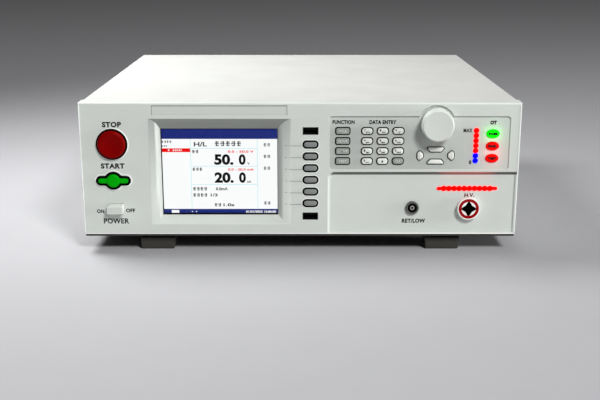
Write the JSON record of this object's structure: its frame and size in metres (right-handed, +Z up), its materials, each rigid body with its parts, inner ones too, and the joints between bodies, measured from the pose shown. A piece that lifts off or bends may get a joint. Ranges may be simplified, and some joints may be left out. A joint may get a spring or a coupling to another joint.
{
  "type": "electrical safety tester",
  "caption": "Low wide bench electrical safety tester with a sunk display, soft keys, number pad, round knob, stop and start buttons, warning lamps and two test terminals.",
  "frame": {"origin": "on the bench under the middle of the instrument, at the bottom centre of its box", "axes": "+X to the right across the front panel, +Y from the front panel to the rear, +Z up"},
  "size_m": [0.4344, 0.425, 0.151],
  "materials": {
    "black_tray": "satin",
    "cover_paint": "satin",
    "panel_paint": "satin",
    "rear_paint": "satin",
    "plate_paint": "satin",
    "zinc_steel": "satin",
    "screw_steel": "satin",
    "foot_rubber": "matte",
    "clear_window": "clear",
    "lcd_metal": "satin",
    "board_green": "matte",
    "shaft_metal": "satin",
    "knob_grey": "matte",
    "stop_red": "gloss",
    "start_green": "gloss",
    "power_white": "matte",
    "black_plastic": "matte",
    "red_lens": "gloss",
    "blue_lens": "gloss",
    "green_lens": "gloss",
    "insulator_white": "gloss",
    "ring_red": "gloss",
    "terminal_black": "gloss",
    "port_metal": "satin",
    "transformer_iron": "matte",
    "fan_black": "matte",
    "post_brass": "polished",
    "soft_key_grey": "matte",
    "key_grey": "matte",
    "key_white": "matte"
  },
  "bodies": {
    "case": {"chassis_tray": "black_tray", "top_cover": "cover_paint", "front_bezel": "panel_paint", "front_subpanel": "zinc_steel", "rear_panel": "rear_paint", "nameplate": "plate_paint", "rubber_feet": "foot_rubber", "case_screws": "screw_steel", "lcd_window": "clear_window", "lcd_module": "lcd_metal", "keypad_board": "board_green", "panel_switches": "black_plastic", "red_leds": "red_lens", "blue_leds": "blue_lens", "pass_lamp": "green_lens", "fail_lamps": "red_lens", "hv_lamp_bar": "red_lens", "hv_socket": "insulator_white", "hv_socket_ring": "ring_red", "return_socket": "terminal_black", "usb_ports": "port_metal", "main_board": "board_green", "hv_transformer": "transformer_iron", "power_supply": "board_green", "fan_frame": "fan_black", "mains_inlet": "black_plastic", "signal_connectors": "port_metal", "ground_post": "post_brass"},
    "knob": {"encoder_shaft": "shaft_metal", "encoder_knob": "knob_grey"},
    "stop_button": {"stop_button": "stop_red"},
    "start_button": {"start_button": "start_green"},
    "power_button": {"power_button": "power_white"},
    "fan_rotor": {"fan_rotor": "fan_black"},
    "soft_key_1": {"soft_key_1": "soft_key_grey"},
    "soft_key_2": {"soft_key_2": "soft_key_grey"},
    "soft_key_3": {"soft_key_3": "soft_key_grey"},
    "soft_key_4": {"soft_key_4": "soft_key_grey"},
    "soft_key_5": {"soft_key_5": "soft_key_grey"},
    "soft_key_6": {"soft_key_6": "soft_key_grey"},
    "function_key_1": {"function_key_1": "key_grey"},
    "function_key_2": {"function_key_2": "key_grey"},
    "function_key_3": {"function_key_3": "key_grey"},
    "function_key_4": {"function_key_4": "key_grey"},
    "key_0": {"key_0": "key_white"},
    "key_1": {"key_1": "key_white"},
    "key_2": {"key_2": "key_white"},
    "key_3": {"key_3": "key_white"},
    "key_4": {"key_4": "key_white"},
    "key_5": {"key_5": "key_white"},
    "key_6": {"key_6": "key_white"},
    "key_7": {"key_7": "key_white"},
    "key_8": {"key_8": "key_white"},
    "key_9": {"key_9": "key_white"},
    "key_point": {"key_point": "key_white"},
    "key_clear": {"key_clear": "key_grey"},
    "arrow_up": {"arrow_up": "key_white"},
    "arrow_down": {"arrow_down": "key_white"},
    "arrow_left": {"arrow_left": "key_white"},
    "arrow_right": {"arrow_right": "key_white"}
  },
  "joints": [
    {"name": "soft_key_1_press", "type": "slide", "parent": "case", "child": "soft_key_1", "axis": [0, 1, 0], "range_m": [0, 0.0008], "stiffness_N_per_m": 900, "springref_m": -0.0005},
    {"name": "soft_key_2_press", "type": "slide", "parent": "case", "child": "soft_key_2", "axis": [0, 1, 0], "range_m": [0, 0.0008], "stiffness_N_per_m": 900, "springref_m": -0.0005},
    {"name": "soft_key_3_press", "type": "slide", "parent": "case", "child": "soft_key_3", "axis": [0, 1, 0], "range_m": [0, 0.0008], "stiffness_N_per_m": 900, "springref_m": -0.0005},
    {"name": "soft_key_4_press", "type": "slide", "parent": "case", "child": "soft_key_4", "axis": [0, 1, 0], "range_m": [0, 0.0008], "stiffness_N_per_m": 900, "springref_m": -0.0005},
    {"name": "soft_key_5_press", "type": "slide", "parent": "case", "child": "soft_key_5", "axis": [0, 1, 0], "range_m": [0, 0.0008], "stiffness_N_per_m": 900, "springref_m": -0.0005},
    {"name": "soft_key_6_press", "type": "slide", "parent": "case", "child": "soft_key_6", "axis": [0, 1, 0], "range_m": [0, 0.0008], "stiffness_N_per_m": 900, "springref_m": -0.0005},
    {"name": "function_key_1_press", "type": "slide", "parent": "case", "child": "function_key_1", "axis": [0, 1, 0], "range_m": [0, 0.0008], "stiffness_N_per_m": 900, "springref_m": -0.0005},
    {"name": "function_key_2_press", "type": "slide", "parent": "case", "child": "function_key_2", "axis": [0, 1, 0], "range_m": [0, 0.0008], "stiffness_N_per_m": 900, "springref_m": -0.0005},
    {"name": "function_key_3_press", "type": "slide", "parent": "case", "child": "function_key_3", "axis": [0, 1, 0], "range_m": [0, 0.0008], "stiffness_N_per_m": 900, "springref_m": -0.0005},
    {"name": "function_key_4_press", "type": "slide", "parent": "case", "child": "function_key_4", "axis": [0, 1, 0], "range_m": [0, 0.0008], "stiffness_N_per_m": 900, "springref_m": -0.0005},
    {"name": "key_0_press", "type": "slide", "parent": "case", "child": "key_0", "axis": [0, 1, 0], "range_m": [0, 0.0008], "stiffness_N_per_m": 900, "springref_m": -0.0005},
    {"name": "key_1_press", "type": "slide", "parent": "case", "child": "key_1", "axis": [0, 1, 0], "range_m": [0, 0.0008], "stiffness_N_per_m": 900, "springref_m": -0.0005},
    {"name": "key_2_press", "type": "slide", "parent": "case", "child": "key_2", "axis": [0, 1, 0], "range_m": [0, 0.0008], "stiffness_N_per_m": 900, "springref_m": -0.0005},
    {"name": "key_3_press", "type": "slide", "parent": "case", "child": "key_3", "axis": [0, 1, 0], "range_m": [0, 0.0008], "stiffness_N_per_m": 900, "springref_m": -0.0005},
    {"name": "key_4_press", "type": "slide", "parent": "case", "child": "key_4", "axis": [0, 1, 0], "range_m": [0, 0.0008], "stiffness_N_per_m": 900, "springref_m": -0.0005},
    {"name": "key_5_press", "type": "slide", "parent": "case", "child": "key_5", "axis": [0, 1, 0], "range_m": [0, 0.0008], "stiffness_N_per_m": 900, "springref_m": -0.0005},
    {"name": "key_6_press", "type": "slide", "parent": "case", "child": "key_6", "axis": [0, 1, 0], "range_m": [0, 0.0008], "stiffness_N_per_m": 900, "springref_m": -0.0005},
    {"name": "key_7_press", "type": "slide", "parent": "case", "child": "key_7", "axis": [0, 1, 0], "range_m": [0, 0.0008], "stiffness_N_per_m": 900, "springref_m": -0.0005},
    {"name": "key_8_press", "type": "slide", "parent": "case", "child": "key_8", "axis": [0, 1, 0], "range_m": [0, 0.0008], "stiffness_N_per_m": 900, "springref_m": -0.0005},
    {"name": "key_9_press", "type": "slide", "parent": "case", "child": "key_9", "axis": [0, 1, 0], "range_m": [0, 0.0008], "stiffness_N_per_m": 900, "springref_m": -0.0005},
    {"name": "key_point_press", "type": "slide", "parent": "case", "child": "key_point", "axis": [0, 1, 0], "range_m": [0, 0.0008], "stiffness_N_per_m": 900, "springref_m": -0.0005},
    {"name": "key_clear_press", "type": "slide", "parent": "case", "child": "key_clear", "axis": [0, 1, 0], "range_m": [0, 0.0008], "stiffness_N_per_m": 900, "springref_m": -0.0005},
    {"name": "arrow_up_press", "type": "slide", "parent": "case", "child": "arrow_up", "axis": [0, 1, 0], "range_m": [0, 0.0008], "stiffness_N_per_m": 900, "springref_m": -0.0005},
    {"name": "arrow_down_press", "type": "slide", "parent": "case", "child": "arrow_down", "axis": [0, 1, 0], "range_m": [0, 0.0008], "stiffness_N_per_m": 900, "springref_m": -0.0005},
    {"name": "arrow_left_press", "type": "slide", "parent": "case", "child": "arrow_left", "axis": [0, 1, 0], "range_m": [0, 0.0008], "stiffness_N_per_m": 900, "springref_m": -0.0005},
    {"name": "arrow_right_press", "type": "slide", "parent": "case", "child": "arrow_right", "axis": [0, 1, 0], "range_m": [0, 0.0008], "stiffness_N_per_m": 900, "springref_m": -0.0005},
    {"name": "stop_button_press", "type": "slide", "parent": "case", "child": "stop_button", "axis": [0, 1, 0], "range_m": [0, 0.003], "stiffness_N_per_m": 500, "springref_m": -0.0015},
    {"name": "start_button_press", "type": "slide", "parent": "case", "child": "start_button", "axis": [0, 1, 0], "range_m": [0, 0.003], "stiffness_N_per_m": 500, "springref_m": -0.0015},
    {"name": "power_button_press", "type": "slide", "parent": "case", "child": "power_button", "axis": [0, 1, 0], "range_m": [0, 0.0035], "stiffness_N_per_m": 500, "springref_m": -0.0015},
    {"name": "knob_turn", "type": "hinge", "parent": "case", "child": "knob", "pos_m": [0.1328, -0.1995, 0.1303], "axis": [0, 1, 0], "continuous": true},
    {"name": "fan_spin", "type": "hinge", "parent": "case", "child": "fan_rotor", "pos_m": [0.14, 0.1855, 0.08475], "axis": [0, 1, 0], "continuous": true}
  ]
}
